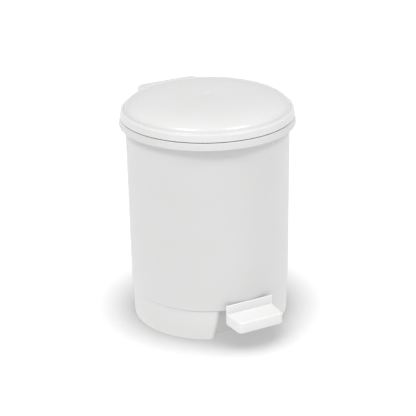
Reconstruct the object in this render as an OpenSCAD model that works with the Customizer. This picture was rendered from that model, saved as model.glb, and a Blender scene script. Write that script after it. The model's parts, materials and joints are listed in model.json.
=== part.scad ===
// Round pedal bin for a bathroom or kitchen corner, about 5 litres outside.
// A tapered shell stands on a separate plinth ring. A hinged lid closes on the shell's collar,
// and an inner bucket hangs by its lip from the shell's rim. Pressing the pedal turns a long
// lever under the floor, which pushes a wire rod up the back, which turns the lid on its hinge.
// Millimetres, +Z up. The floor is Z = 0, the bin's axis is X = Y = 0, the pedal faces -Y.

/* [Body] */
// Outer radius of the shell at its rim
body_r = 94.3; // [80:0.1:120]
// Height of the rim that the lid closes on
rim_h = 243; // [180:1:320]
// Thickness of the moulded walls and floor
wall = 2; // [1.6:0.1:2.8]
// How much narrower the shell is at its lower edge
shell_taper = 1.6; // [0.5:0.1:4]

/* [Plinth] */
// Height of the plinth ring
plinth_h = 36.3; // [34:0.1:50]
// How far the shell's lower edge overhangs the plinth
plinth_step = 0.7; // [0.3:0.1:2]
// How much narrower the plinth is at the floor
plinth_taper = 1.3; // [0:0.1:4]
// Open seam between the plinth and the shell
seam = 0.2; // [0.1:0.05:0.5]
// Half the width of the pedal's notch at its top
notch_top = 29.8; // [28:0.1:40]
// Half the width of the pedal's notch at the floor
notch_foot = 37; // [30:0.1:48]
// Depth of the pedal's recess, from the plinth's foot back to its rear wall
notch_depth = 18; // [10:0.5:20]

/* [Collar] */
// Height of the collar's skirt
collar_h = 8.3; // [6:0.1:16]
// How far the collar's top stands out from the shell
collar_out = 6; // [4.5:0.1:10]
// How much wider the collar is at its lower edge
collar_flare = 1.2; // [0:0.1:3]

/* [Lid] */
// Open line between the collar and the lid
lid_gap = 1; // [0.6:0.1:2]
// Height of the lid's skirt
skirt_h = 8; // [6:0.1:14]
// How much narrower the skirt is at its top than the collar's top
skirt_draft = 1.7; // [0.5:0.1:4]
// Radius of the skirt's rounded top edge
skirt_round = 1.2; // [0.5:0.1:2]
// Width of the flat step between the skirt and the dome
lid_step = 3.5; // [2.5:0.1:8]
// Rise of the dome above the step
dome_h = 14.8; // [8:0.1:25]
// How square the dome's plan curve is
dome_plan_power = 3.8; // [2:0.1:6]
// How square the dome's shoulder is
dome_side_power = 2.18; // [1.6:0.02:4]
// Angle to which the pedal opens the lid
lid_open = 75; // [50:1:80]

/* [Hinge] */
// Half the width of the hood over the hinge
hood_half_w = 41; // [31.5:0.5:42]
// How far the hood reaches behind the collar's top
hood_reach = 7; // [5:0.1:9]
// How far the hood's top stands above the lid's step
hood_rise = 4.2; // [2.3:0.1:6]
// Radius of the hinge pin and of the pedal axle
pin_r = 2; // [1.5:0.1:2.4]
// Radius of the hinge knuckles and ears
knuckle_r = 4; // [3.6:0.1:4.2]
// Height of the hinge axis above the rim
hinge_rise = 4.5; // [4.5:0.1:5.5]

/* [Rod] */
// Radius of the wire that the lift rod is bent from
rod_r = 1.5; // [1:0.1:1.8]
// Distance from the hinge axis forward to the rod
lift_reach = 15; // [14.5:0.1:18]
// Radius on the wire's centre line at its bends
rod_bend = 3; // [2.5:0.1:4]

/* [Pedal] */
// Half the width of the pedal's upright plate
plate_half_w = 29.9; // [24:0.1:30.5]
// Height of the plate's top above the floor
plate_top = 45.2; // [40:0.1:55]
// Height of the tread's top above the floor
tread_top = 34.9; // [30:0.1:36]
// Height of the tread's skirt
tread_h = 12.9; // [8:0.1:14]
// How far the tread stands out in front of the plate
tread_out = 28; // [18:0.1:40]
// Half the width of the tread at its front edge
tread_half_w = 28.4; // [22:0.1:29]
// Wall of the pedal
pedal_wall = 1.8; // [1.2:0.1:2.5]
// Distance from the bin's axis forward to the pedal axle
axle_ahead = 26; // [20:1:40]
// Height of the pedal axle above the floor
axle_h = 20; // [17:0.5:22]
// How far the lever's rear eye hangs below the axle at rest
lever_drop = 13; // [10:0.5:13.5]

/* [Bucket] */
// Gap between the bucket and the shell at the rim
bucket_gap = 2.8; // [1:0.1:6]
// How much narrower the bucket is at its base
bucket_taper = 5.5; // [1:0.1:12]
// Thickness of the bucket's wall
bucket_wall = 1.6; // [1.2:0.1:2.5]
// Gap between the bucket's base and the shell's floor
bucket_clear = 2.5; // [2:0.1:10]
// Radius of the carrying handle's wire
handle_r = 1.5; // [1:0.1:1.7]

/* [Hidden] */
$fn = 96;

// Clearances
run_gap = 0.05;      // a pin turning or sliding in its bore
side_gap = 0.4;      // between the sides of pieces that turn on one pin
eps = 0.5;           // how far a piece is sunk into the piece that it is moulded with

// Shell
shell_bottom = plinth_h + seam;
floor_top = shell_bottom + wall;
shell_low_r = body_r - shell_taper;
collar_bottom = rim_h - collar_h;
collar_top_r = body_r + collar_out;
collar_low_r = collar_top_r + collar_flare;

// Outer radius of the shell at height z
function shell_r(z) = shell_low_r + shell_taper * (z - shell_bottom) / (rim_h - shell_bottom);
// Outer radius of the collar at height z
function collar_r(z) = collar_low_r - collar_flare * (z - collar_bottom) / collar_h;

// Plinth
plinth_top_r = shell_low_r - plinth_step;
plinth_foot_r = plinth_top_r - plinth_taper;

// Lid
skirt_bottom = rim_h + lid_gap;
step_z = skirt_bottom + skirt_h;
skirt_low_r = collar_top_r;
skirt_top_r = collar_top_r - skirt_draft;
dome_r = skirt_top_r - lid_step;
lid_top = step_z + dome_h;
step_under = step_z - wall;

// Height of a dome of radius r1 and rise h at radius r
function dome_at(r, r1, h) =
    h * pow(1 - pow(r / r1, dome_plan_power), 1 / dome_side_power);
// The dome's curve from its foot to its crown
function dome_curve(r1, h, z0) = [
    for (t = [90:-5:0])
        [r1 * pow(sin(t), 2 / dome_plan_power), z0 + h * pow(cos(t), 2 / dome_side_power)]
];

// Hinge
hinge_y = collar_top_r - 0.8;
hinge_z = rim_h + hinge_rise;
hood_back = collar_top_r + hood_reach;
hood_top = step_z + hood_rise;
hood_wall = 1.8;
hood_in = hood_half_w - hood_wall;
hood_round = 12;
ear_in = 22.5;
ear_out = 27;
clip_t = 1.1;
clip_r = pin_r + 2;
hinge_pin_half = ear_out + clip_t + 1;
lid_knuckle_in = 15;

// Rod: the pins at its two ends move straight up and down at rod_y
rod_y = hinge_y - lift_reach;
half_open = lid_open / 2;
rod_travel = 2 * lift_reach * tan(half_open);
upper_pin_z = hinge_z - rod_travel / 2;
lower_pin_z = axle_h - lever_drop;
strap_in = rod_bend + 0.6;
strap_t = 3;
rod_clip_in = strap_in + strap_t + side_gap;
rod_leg = rod_clip_in + 2;
slot_half_w = rod_r + 0.75;
eye_r = slot_half_w + 1.5;
slot_far = lift_reach / cos(half_open);
guide_r = rod_r + 1.9;
upper_guide_h = 8;
upper_guide_z = rim_h - 35;

// Pedal and lever
axle_y = -axle_ahead;
lug_in = 17.6;
lug_out = 21.6;
axle_half = lug_out + clip_t + 1.2;
hub_r = pin_r + 3;
plate_t = 1.5;
plate_back = shell_r(plate_top) + 0.5;
plate_front = plate_back + plate_t;
tread_bottom = tread_top - tread_h;
tread_front = plate_front + tread_out;
tread_round = 5;
rear_reach = rod_y + axle_ahead;
rear_far = norm([rear_reach, lever_drop]);
rear_dir = atan2(-lever_drop, rear_reach);
rear_eye_r = rod_r + 1.8;
press_angle = atan2(rod_travel - lever_drop, rear_reach) + atan2(lever_drop, rear_reach);
recess_back = plinth_foot_r - notch_depth;
lever_slot_half = strap_in + strap_t + 1.4;
lever_slot_bottom = axle_h - (recess_back - axle_ahead) * sin(press_angle) - 2;
pedal_screw_x = 12;
pedal_screw_z = tread_bottom + 5.6;
lever_plate_t = 2.5;
lever_plate_half_w = 18;

// Screws
screw_r = 1.5;
screw_head_r = 3;
screw_head_h = 2;
boss_r = 4;
boss_bottom = 12;
boss_ring = plinth_foot_r - 10.7;
boss_angles = [40, 140, 220, 320];
tab_t = 2.5;
tab_w = 12;

// Lid lever
lever_flange_z = step_under - 1.5;
lever_flange_t = 2;
lever_flange_half_w = 13;
lever_flange_back = hinge_y - 8.5;
lid_boss_x = 9;
lid_boss_y = rod_y - 6;
lid_boss_r = 3.5;
lever_flange_front = lid_boss_y - 5;

// Bucket
bucket_top_r = body_r - wall - bucket_gap;
bucket_base_r = bucket_top_r - bucket_taper;
bucket_bottom = floor_top + bucket_clear;
lip_r = dome_r + 1.4;
lip_t = 2;
lip_top = rim_h + lip_t;
recess_half_w = 14;
recess_y = hinge_y - slot_far - eye_r - 0.7;
rear_notch_y = hinge_y - 12.5;
handle_ear_t = 2.2;
handle_ear_x = lip_r - 3.3;
handle_ear_half = 4;
handle_z = lip_top + handle_r + 0.5;
handle_bend = 3;
handle_ring = handle_ear_x - 1.2 - handle_bend;
buffer_r = 1.6;
buffer_ring = dome_r - 0.25;
buffer_angles = [35, 145, 215, 325];

// Colours
white_plastic = [0.93, 0.93, 0.92];
inner_plastic = [0.88, 0.88, 0.87];
steel = [0.72, 0.73, 0.75];
soft_plastic = [0.80, 0.80, 0.80];

// Stands a YZ outline up and gives it a thickness from x0 to x1
module yz_plate(x0, x1) {
    translate([x0, 0, 0])
        rotate([90, 0, 90])
            linear_extrude(x1 - x0)
                children();
}

// A round bar along X from x0 to x1
module x_bar(r, x0, x1, y, z) {
    translate([x0, y, z])
        rotate([0, 90, 0])
            cylinder(r = r, h = x1 - x0);
}

// A left and a right copy
module both_sides() {
    children();
    mirror([1, 0, 0]) children();
}

// A pan-head screw pointing up, its head below Z = 0
module screw(length) {
    difference() {
        union() {
            cylinder(r = screw_r, h = length);
            translate([0, 0, -screw_head_h])
                cylinder(r1 = screw_head_r - 0.6, r2 = screw_head_r, h = screw_head_h);
        }
        for (turn = [0, 90])
            rotate(turn)
                translate([-1.8, -0.4, -screw_head_h - 1])
                    cube([3.6, 0.8, 2]);
    }
}

// A push-on clip between x0 and x0 + clip_t on a bar of radius r
module push_clip(r, ring_r, x0, y, z) {
    difference() {
        x_bar(ring_r, x0, x0 + clip_t, y, z);
        x_bar(r, x0 - 1, x0 + clip_t + 1, y, z);
    }
}

// The trapezoid of the pedal's notch, grown by a margin, from y = -near to -far
module notch_prism(margin, near, far) {
    translate([0, -near, 0])
        rotate([90, 0, 0])
            linear_extrude(far - near)
                polygon([
                    [-notch_foot - margin, -1], [notch_foot + margin, -1],
                    [notch_foot + margin, 0], [notch_top + margin, plinth_h],
                    [notch_top + margin, plinth_h + 1], [-notch_top - margin, plinth_h + 1],
                    [-notch_top - margin, plinth_h], [-notch_foot - margin, 0]
                ]);
}

// Wall, floor, rim and hanging collar in one turned profile
module shell_wall() {
    collar_under = rim_h - wall;
    rotate_extrude()
        polygon([
            [0, shell_bottom], [shell_low_r, shell_bottom],
            [shell_r(collar_under), collar_under],
            [collar_r(collar_under) - wall, collar_under],
            [collar_low_r - wall, collar_bottom], [collar_low_r, collar_bottom],
            [collar_top_r, rim_h], [body_r - wall, rim_h],
            [shell_r(floor_top) - wall, floor_top], [0, floor_top]
        ]);
}

// The space inside the shell, used to shape what is fixed to its wall
module shell_inside() {
    rotate_extrude()
        polygon([
            [0, floor_top], [shell_r(floor_top) - wall, floor_top],
            [body_r - wall, rim_h], [0, rim_h]
        ]);
}

module hinge_ears() {
    foot_z = rim_h - wall / 2;
    foot_back = sqrt(pow(collar_top_r, 2) - pow(ear_out, 2)) - 0.2;
    foot_front = foot_back - 6.5;
    both_sides()
        yz_plate(ear_in, ear_out) {
            translate([hinge_y, hinge_z])
                circle(knuckle_r);
            polygon([
                [foot_front, foot_z], [foot_back, foot_z],
                [hinge_y + knuckle_r * cos(30), hinge_z - knuckle_r * sin(30)],
                [hinge_y, hinge_z],
                [hinge_y - knuckle_r * cos(30), hinge_z + knuckle_r * sin(30)]
            ]);
        }
}

module axle_lugs() {
    both_sides()
        yz_plate(lug_in, lug_out) {
            translate([axle_y, axle_h])
                circle(hub_r);
            polygon([
                [axle_y - hub_r, axle_h], [axle_y + hub_r, axle_h],
                [axle_y + hub_r + 4, shell_bottom + eps], [axle_y - hub_r - 4, shell_bottom + eps]
            ]);
        }
}

module outer_shell() {
    color(white_plastic)
        difference() {
            union() {
                shell_wall();
                hinge_ears();
                axle_lugs();
                for (a = boss_angles)
                    rotate(a)
                        translate([boss_ring, 0, boss_bottom])
                            cylinder(r = boss_r, h = shell_bottom + eps - boss_bottom);
            }
            x_bar(pin_r, -ear_out - 1, ear_out + 1, hinge_y, hinge_z);
            x_bar(pin_r, -lug_out - 1, lug_out + 1, axle_y, axle_h);
            for (a = boss_angles)
                rotate(a)
                    translate([boss_ring, 0, boss_bottom - 1])
                        cylinder(r = screw_r, h = 13);
            translate([0, rod_y, shell_bottom - 1])
                cylinder(r = guide_r, h = wall + 2);
        }
}

module plinth_ring() {
    tab_in = boss_ring - 6;
    color(white_plastic)
        difference() {
            union() {
                rotate_extrude()
                    polygon([
                        [plinth_foot_r - wall, 0], [plinth_foot_r, 0],
                        [plinth_top_r, plinth_h], [plinth_top_r - wall, plinth_h]
                    ]);
                for (a = boss_angles)
                    rotate(a)
                        translate([tab_in, -tab_w / 2, boss_bottom - tab_t])
                            cube([plinth_foot_r - wall + 0.8 - tab_in, tab_w, tab_t]);
                intersection() {
                    notch_prism(wall, recess_back - wall, plinth_top_r);
                    rotate_extrude()
                        polygon([
                            [0, 0], [plinth_foot_r - wall / 2, 0],
                            [plinth_top_r - wall / 2, plinth_h], [0, plinth_h]
                        ]);
                }
            }
            notch_prism(0, recess_back, plinth_top_r + 5);
            translate([-lever_slot_half, -recess_back - 1, lever_slot_bottom])
                cube([2 * lever_slot_half, wall + 2, plinth_h]);
            for (a = boss_angles)
                rotate(a)
                    translate([boss_ring, 0, 0])
                        cylinder(r = screw_r + 0.2, h = boss_bottom + 1);
        }
}

module plinth_screws() {
    color(steel)
        for (a = boss_angles)
            rotate(a)
                translate([boss_ring, 0, boss_bottom - tab_t])
                    screw(12);
}

module lower_rod_guide() {
    flange_r = guide_r + 1;
    color(soft_plastic)
        translate([0, rod_y, 0])
            rotate_extrude()
                polygon([
                    [rod_r + run_gap, shell_bottom - eps], [guide_r, shell_bottom - eps],
                    [guide_r, floor_top], [flange_r, floor_top],
                    [flange_r, floor_top + 1.4], [rod_r + run_gap, floor_top + 1.4]
                ]);
}

module upper_rod_guide() {
    half_w = 7;
    color(soft_plastic)
        difference() {
            intersection() {
                translate([-half_w, rod_y - 5, upper_guide_z])
                    cube([2 * half_w, 30, upper_guide_h]);
                shell_inside();
            }
            translate([0, rod_y, upper_guide_z - 1])
                cylinder(r = rod_r + run_gap, h = upper_guide_h + 2);
        }
}

module pedal_axle() {
    color(steel)
        x_bar(pin_r, -axle_half, axle_half, axle_y, axle_h);
}

module axle_clips() {
    color(steel)
        both_sides()
            push_clip(pin_r, clip_r, lug_out, axle_y, axle_h);
}

module hinge_pin() {
    color(steel)
        x_bar(pin_r, -hinge_pin_half, hinge_pin_half, hinge_y, hinge_z);
}

module hinge_pin_clips() {
    color(steel)
        both_sides()
            push_clip(pin_r, clip_r - 0.4, ear_out, hinge_y, hinge_z);
}

// The flat in the bucket's back that leaves room for the rod and the lid's lever
module bucket_recess(inset) {
    translate([-recess_half_w - inset, recess_y - inset, bucket_bottom - 1])
        cube([2 * (recess_half_w + inset), body_r, rim_h + 20]);
}

module bucket() {
    color(inner_plastic)
        difference() {
            union() {
                difference() {
                    rotate_extrude()
                        polygon([
                            [0, bucket_bottom], [bucket_base_r, bucket_bottom],
                            [bucket_top_r, rim_h], [lip_r, rim_h], [lip_r, lip_top], [0, lip_top]
                        ]);
                    translate([-hood_half_w, rear_notch_y, rim_h - 1])
                        cube([2 * hood_half_w, body_r, lip_t + 2]);
                }
                both_sides()
                    handle_ear();
            }
            difference() {
                rotate_extrude()
                    polygon([
                        [0, bucket_bottom + bucket_wall],
                        [bucket_base_r - bucket_wall, bucket_bottom + bucket_wall],
                        [bucket_top_r - bucket_wall, lip_top], [bucket_top_r - bucket_wall, lip_top + 1],
                        [0, lip_top + 1]
                    ]);
                bucket_recess(bucket_wall);
            }
            bucket_recess(0);
            x_bar(handle_r + run_gap, -lip_r, lip_r, 0, handle_z);
        }
}

module handle_ear() {
    yz_plate(handle_ear_x, handle_ear_x + handle_ear_t) {
        translate([0, handle_z])
            circle(handle_r + 0.8);
        polygon([
            [-handle_ear_half, lip_top - eps], [handle_ear_half, lip_top - eps],
            [handle_r + 0.8, handle_z], [-handle_r - 0.8, handle_z]
        ]);
    }
}

// Wire bail lying forward on the lip, its ends bent out through the ears
module bucket_handle() {
    color(steel)
        translate([0, -handle_bend, handle_z]) {
            rotate(180)
                rotate_extrude(angle = 180)
                    translate([handle_ring, 0])
                        circle(handle_r);
            both_sides()
                handle_end();
        }
}

// The bend that turns the bail's ring outwards, and the straight end in its ear
module handle_end() {
    bend_x = handle_ring + handle_bend;
    translate([bend_x, 0, 0])
        rotate(90)
            rotate_extrude(angle = 90)
                translate([handle_bend, 0])
                    circle(handle_r);
    x_bar(handle_r, bend_x, handle_ear_x + handle_ear_t + 0.6, handle_bend, 0);
}

// The lid's outside as a solid of revolution
module lid_outside() {
    rotate_extrude()
        polygon(concat(
            [[0, skirt_bottom], [skirt_low_r, skirt_bottom]],
            [for (t = [0:15:90])
                [skirt_top_r - skirt_round * (1 - cos(t)), step_z - skirt_round * (1 - sin(t))]],
            dome_curve(dome_r, dome_h, step_z)
        ));
}

// The space under the lid
module lid_inside() {
    rotate_extrude()
        polygon(concat(
            [[0, skirt_bottom - 1], [skirt_low_r - wall, skirt_bottom - 1],
             [skirt_low_r - wall, skirt_bottom], [skirt_top_r - wall, step_under]],
            dome_curve(dome_r - wall, dome_h, step_under)
        ));
}

// Plan of the hood, from y = front back to the rounded rear corners
module hood_plan(half_w, front, back, round_r) {
    translate([-half_w, front])
        square([2 * half_w, back - round_r - front]);
    translate([-half_w + round_r, front])
        square([2 * (half_w - round_r), back - front]);
    for (side = [-1, 1])
        translate([side * (half_w - round_r), back - round_r])
            circle(round_r);
}

module hood_outside() {
    front = hinge_y - 18;
    cut_z = hinge_z + 0.5;
    difference() {
        translate([0, 0, skirt_bottom])
            linear_extrude(hood_top - skirt_bottom)
                hood_plan(hood_half_w, front, hood_back, hood_round);
        yz_plate(-hood_half_w - 1, hood_half_w + 1)
            polygon([
                [hinge_y - 2.5, skirt_bottom - 1], [hinge_y + 4, cut_z],
                [hood_back + 1, cut_z], [hood_back + 1, skirt_bottom - 1]
            ]);
    }
}

module hood_inside() {
    translate([0, 0, skirt_bottom - 1])
        linear_extrude(hood_top - hood_wall - skirt_bottom + 1)
            hood_plan(hood_in, hinge_y - 11.5, hood_back - hood_wall, hood_round - hood_wall);
}

module lid_knuckles() {
    web_top = hood_top - hood_wall / 2;
    both_sides()
        yz_plate(lid_knuckle_in, ear_in - side_gap) {
            translate([hinge_y, hinge_z])
                circle(knuckle_r);
            translate([hinge_y - knuckle_r, hinge_z])
                square([2 * knuckle_r, web_top - hinge_z]);
        }
}

module lid_bosses() {
    far = norm([lid_boss_x + lid_boss_r, lid_boss_y + lid_boss_r]);
    boss_top = step_z + dome_at(far, dome_r, dome_h) - wall / 4;
    both_sides()
        translate([lid_boss_x, lid_boss_y, lever_flange_z + lever_flange_t])
            cylinder(r = lid_boss_r, h = boss_top - lever_flange_z - lever_flange_t);
}

module lid() {
    color(white_plastic)
        difference() {
            union() {
                difference() {
                    union() {
                        lid_outside();
                        hood_outside();
                    }
                    lid_inside();
                    hood_inside();
                }
                lid_knuckles();
                lid_bosses();
            }
            x_bar(pin_r + run_gap, -ear_in, ear_in, hinge_y, hinge_z);
            both_sides()
                translate([lid_boss_x, lid_boss_y, lever_flange_z])
                    cylinder(r = screw_r, h = 9);
        }
}

// Slot along a line from the hinge, long enough for the rod's pin at every lid angle
module lift_slot(x0, x1) {
    near = lift_reach - 0.3;
    for (d = [near, slot_far + 0.3])
        x_bar(slot_half_w, x0, x1,
              hinge_y - d * cos(half_open), hinge_z - d * sin(half_open));
    translate([0, hinge_y, hinge_z])
        rotate([half_open, 0, 0])
            translate([x0, -slot_far - 0.3, -slot_half_w])
                cube([x1 - x0, slot_far + 0.3 - near, 2 * slot_half_w]);
}

module lid_lever() {
    far_y = hinge_y - lift_reach;
    near_y = hinge_y - lift_reach * cos(half_open);
    near_z = hinge_z - lift_reach * sin(half_open);
    color(white_plastic)
        difference() {
            union() {
                translate([-lever_flange_half_w, lever_flange_front, lever_flange_z])
                    cube([2 * lever_flange_half_w, lever_flange_back - lever_flange_front,
                          lever_flange_t]);
                yz_plate(strap_in, strap_in + strap_t) {
                    translate([far_y, upper_pin_z])
                        circle(eye_r);
                    translate([near_y, near_z])
                        circle(eye_r);
                    polygon([
                        [far_y - eye_r, upper_pin_z], [far_y, upper_pin_z - eye_r + 0.4],
                        [near_y + eye_r, near_z], [near_y + eye_r, lever_flange_z + eps],
                        [far_y - eye_r, lever_flange_z + eps]
                    ]);
                }
            }
            lift_slot(strap_in - 1, strap_in + strap_t + 1);
            both_sides()
                translate([lid_boss_x, lid_boss_y, lever_flange_z - 1])
                    cylinder(r = screw_r + 0.2, h = lever_flange_t + 2);
        }
}

module lid_lever_screws() {
    color(steel)
        both_sides()
            translate([lid_boss_x, lid_boss_y, lever_flange_z])
                screw(8);
}

module lid_buffers() {
    color(soft_plastic)
        for (a = buffer_angles)
            rotate(a)
                translate([buffer_ring, 0, lip_top + 0.15])
                    cylinder(r = buffer_r, h = step_under - lip_top - 0.15);
}

// Plan of the tread: wide at the plate, narrower at the front, with round front corners
module tread_plan(inset) {
    front_w = tread_half_w - inset;
    back_w = plate_half_w - inset;
    r = tread_round - inset;
    polygon([
        [-back_w, -plate_front], [back_w, -plate_front],
        [front_w, -tread_front + inset + r], [front_w - r, -tread_front + inset],
        [-front_w + r, -tread_front + inset], [-front_w, -tread_front + inset + r]
    ]);
    for (side = [-1, 1])
        translate([side * (front_w - r), -tread_front + inset + r])
            circle(r);
}

module pedal() {
    boss_len = 14;
    color(white_plastic)
        difference() {
            union() {
                translate([-plate_half_w, -plate_front, tread_bottom])
                    cube([2 * plate_half_w, plate_t, plate_top - tread_bottom]);
                difference() {
                    translate([0, 0, tread_bottom])
                        linear_extrude(tread_h)
                            tread_plan(0);
                    translate([0, 0, tread_bottom - 1])
                        linear_extrude(tread_h - pedal_wall + 1)
                            tread_plan(pedal_wall);
                }
                both_sides()
                    translate([pedal_screw_x, -plate_front, pedal_screw_z])
                        rotate([90, 0, 0])
                            cylinder(r = 3.2, h = boss_len);
                for (x = [-pedal_screw_x, 0, pedal_screw_x])
                    translate([x - 0.7, -tread_front + pedal_wall / 2, tread_top - pedal_wall - 5])
                        cube([1.4, tread_out - pedal_wall / 2, 5 + pedal_wall / 2]);
            }
            both_sides()
                translate([pedal_screw_x, -plate_back + 1, pedal_screw_z])
                    rotate([90, 0, 0])
                        cylinder(r = screw_r, h = boss_len - 1);
        }
}

// Side outline of the lever: front arm, hub and falling rear arm
module lever_outline() {
    translate([axle_y, axle_h])
        circle(hub_r);
    translate([rod_y, lower_pin_z])
        circle(rear_eye_r);
    polygon([
        [-plate_back + eps, pedal_screw_z - 4], [axle_y, axle_h - hub_r],
        [rod_y, lower_pin_z - rear_eye_r], [rod_y, lower_pin_z + rear_eye_r],
        [axle_y, axle_h + hub_r], [-plate_back + eps, pedal_screw_z + 4.5]
    ]);
}

module pedal_lever() {
    web_back = rod_y - 12;
    color(inner_plastic)
        difference() {
            union() {
                both_sides()
                    yz_plate(strap_in, strap_in + strap_t)
                        lever_outline();
                intersection() {
                    yz_plate(-strap_in, strap_in)
                        lever_outline();
                    yz_plate(-strap_in, strap_in)
                        polygon([
                            [-plate_back + eps, pedal_screw_z + 2.5], [axle_y, axle_h + hub_r - 2],
                            [web_back, lower_pin_z + 3.4], [web_back, axle_h + 20],
                            [-plate_back + eps, axle_h + 20]
                        ]);
                }
                x_bar(hub_r, -lug_in + side_gap, lug_in - side_gap, axle_y, axle_h);
                translate([-lever_plate_half_w, -plate_back, pedal_screw_z - 4.5])
                    cube([2 * lever_plate_half_w, lever_plate_t, 9.5]);
            }
            x_bar(pin_r + run_gap, -lug_in, lug_in, axle_y, axle_h);
            translate([0, axle_y, axle_h])
                rotate([rear_dir, 0, 0]) {
                    for (d = [rear_reach - 0.2, rear_far + 0.2])
                        x_bar(rod_r + 0.12, 0, strap_in + strap_t + 1, d, 0);
                    translate([0, rear_reach - 0.2, -rod_r - 0.12])
                        cube([strap_in + strap_t + 1, rear_far - rear_reach + 0.4,
                              2 * rod_r + 0.24]);
                }
            both_sides()
                translate([pedal_screw_x, -plate_back - 1, pedal_screw_z])
                    rotate([-90, 0, 0])
                        cylinder(r = screw_r + 0.2, h = lever_plate_t + 2);
        }
}

module pedal_screws() {
    color(steel)
        both_sides()
            translate([pedal_screw_x, -plate_back + lever_plate_t, pedal_screw_z])
                rotate([90, 0, 0])
                    screw(12);
}

// A quarter bend from the upright wire at x = 0 to a leg along +X at height z
module rod_hook(z, up) {
    side = up ? 1 : -1;
    translate([rod_bend, rod_y, z - side * rod_bend])
        rotate([90, 0, 0])
            rotate([0, 0, up ? 90 : 180])
                rotate_extrude(angle = 90)
                    translate([rod_bend, 0])
                        circle(rod_r);
    x_bar(rod_r, rod_bend, rod_leg, rod_y, z);
}

module lift_rod() {
    color(steel) {
        translate([0, rod_y, lower_pin_z + rod_bend])
            cylinder(r = rod_r, h = upper_pin_z - lower_pin_z - 2 * rod_bend);
        rod_hook(upper_pin_z, true);
        rod_hook(lower_pin_z, false);
    }
}

module upper_rod_clip() {
    color(steel)
        push_clip(rod_r, rod_r + 2, rod_clip_in, rod_y, upper_pin_z);
}

module lower_rod_clip() {
    color(steel)
        push_clip(rod_r, rod_r + 2, rod_clip_in, rod_y, lower_pin_z);
}

outer_shell();
plinth_ring();
plinth_screws();
lower_rod_guide();
upper_rod_guide();
pedal_axle();
axle_clips();
hinge_pin();
hinge_pin_clips();
bucket();
bucket_handle();
lid();
lid_lever();
lid_lever_screws();
lid_buffers();
pedal();
pedal_lever();
pedal_screws();
lift_rod();
upper_rod_clip();
lower_rod_clip();
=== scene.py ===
# %% [markdown]
# # A pedal bin in white plastic
#
# This lesson dresses a working model of a small round pedal bin. The model's frame comes first:
# every node already sits at its real size and place, and it stays where it is. The big mouldings
# are then made again with softly rounded edges, as they would leave a mould, and every piece gets
# a finish. Sizes are in metres, Z is up, the floor is at zero and the pedal faces -Y.

# %% Load the frame
import json
import math

import bpy
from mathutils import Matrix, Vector


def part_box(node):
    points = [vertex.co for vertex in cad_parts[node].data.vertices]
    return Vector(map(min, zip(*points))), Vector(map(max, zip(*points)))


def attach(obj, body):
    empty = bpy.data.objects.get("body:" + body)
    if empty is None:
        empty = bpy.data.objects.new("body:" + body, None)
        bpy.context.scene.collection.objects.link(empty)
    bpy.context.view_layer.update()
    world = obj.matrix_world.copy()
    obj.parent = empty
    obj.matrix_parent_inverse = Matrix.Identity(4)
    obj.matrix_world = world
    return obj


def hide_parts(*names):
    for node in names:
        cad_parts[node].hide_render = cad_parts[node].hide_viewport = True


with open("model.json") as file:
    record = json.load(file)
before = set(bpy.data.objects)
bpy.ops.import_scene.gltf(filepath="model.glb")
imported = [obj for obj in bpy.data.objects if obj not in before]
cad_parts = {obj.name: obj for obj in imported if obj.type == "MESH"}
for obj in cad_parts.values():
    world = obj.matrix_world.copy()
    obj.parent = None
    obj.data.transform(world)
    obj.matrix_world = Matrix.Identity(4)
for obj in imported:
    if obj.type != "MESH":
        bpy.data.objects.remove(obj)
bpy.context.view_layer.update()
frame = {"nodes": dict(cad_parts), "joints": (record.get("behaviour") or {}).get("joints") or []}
print("nodes in the frame:", len(frame["nodes"]))

# %% [markdown]
# ## Sizes
#
# The mouldings have to fit the pieces that are kept from the frame, so their sizes are read from
# it: boxes of nodes give radii and heights, and the joints give the hinge line and the pedal's
# axle. Only small things are stated here, such as a wall or the width of a step. They could all
# be typed in again, but then a change to the frame would leave the looks behind.

# %% Sizes read from the frame
MM = 0.001
HAIR = 0.01 * MM  # anything shorter counts as nothing
WALL = 2 * MM
PLINTH_LEAN = 1.3 * MM
PLINTH_GAP = 0.2 * MM
STEP_LINE = 0.7 * MM
LID_GAP = 1 * MM
COLLAR_DROP = 8.3 * MM
COLLAR_REACH = 6 * MM
SKIRT_HEIGHT = 8 * MM
SKIRT_LEAN = 1.7 * MM
STEP_WIDTH = 3.5 * MM
HOOD_RISE = 3.4 * MM
HINGE_TO_ROD = 15 * MM

shell_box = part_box("outer_shell")
plinth_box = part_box("plinth_ring")
lid_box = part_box("lid")
pedal_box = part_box("pedal")
bucket_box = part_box("bucket")
joint_at = {j["name"]: Vector(j["pos_m"]) for j in frame["joints"] if "pos_m" in j}
hinge = joint_at["lid_hinge"]
axle = joint_at["pedal_pivot"]
pedal_range = [j["range_deg"] for j in frame["joints"] if j["name"] == "pedal_pivot"][0]
pedal_angle = math.radians(pedal_range[1])

plinth_top = plinth_box[1].z
plinth_top_r = plinth_box[1].x
plinth_foot_r = plinth_top_r - PLINTH_LEAN
shell_bottom = plinth_top + PLINTH_GAP
shell_low_r = plinth_top_r + STEP_LINE
rim_z = lid_box[0].z - LID_GAP
collar_low_r = shell_box[1].x
collar_top_r = lid_box[1].x
collar_bottom = rim_z - COLLAR_DROP
body_r = collar_top_r - COLLAR_REACH
skirt_bottom = lid_box[0].z
step_z = skirt_bottom + SKIRT_HEIGHT
skirt_top_r = collar_top_r - SKIRT_LEAN
dome_r = skirt_top_r - STEP_WIDTH
dome_h = lid_box[1].z - step_z
hood_back = lid_box[1].y
hood_top = step_z + HOOD_RISE
hood_half_w = 41 * MM
rod_y = hinge.y - HINGE_TO_ROD
print(f"body {2 * body_r / MM:.1f} mm across, lid {2 * collar_top_r / MM:.1f} mm, "
      f"height {lid_box[1].z / MM:.1f} mm")

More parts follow.
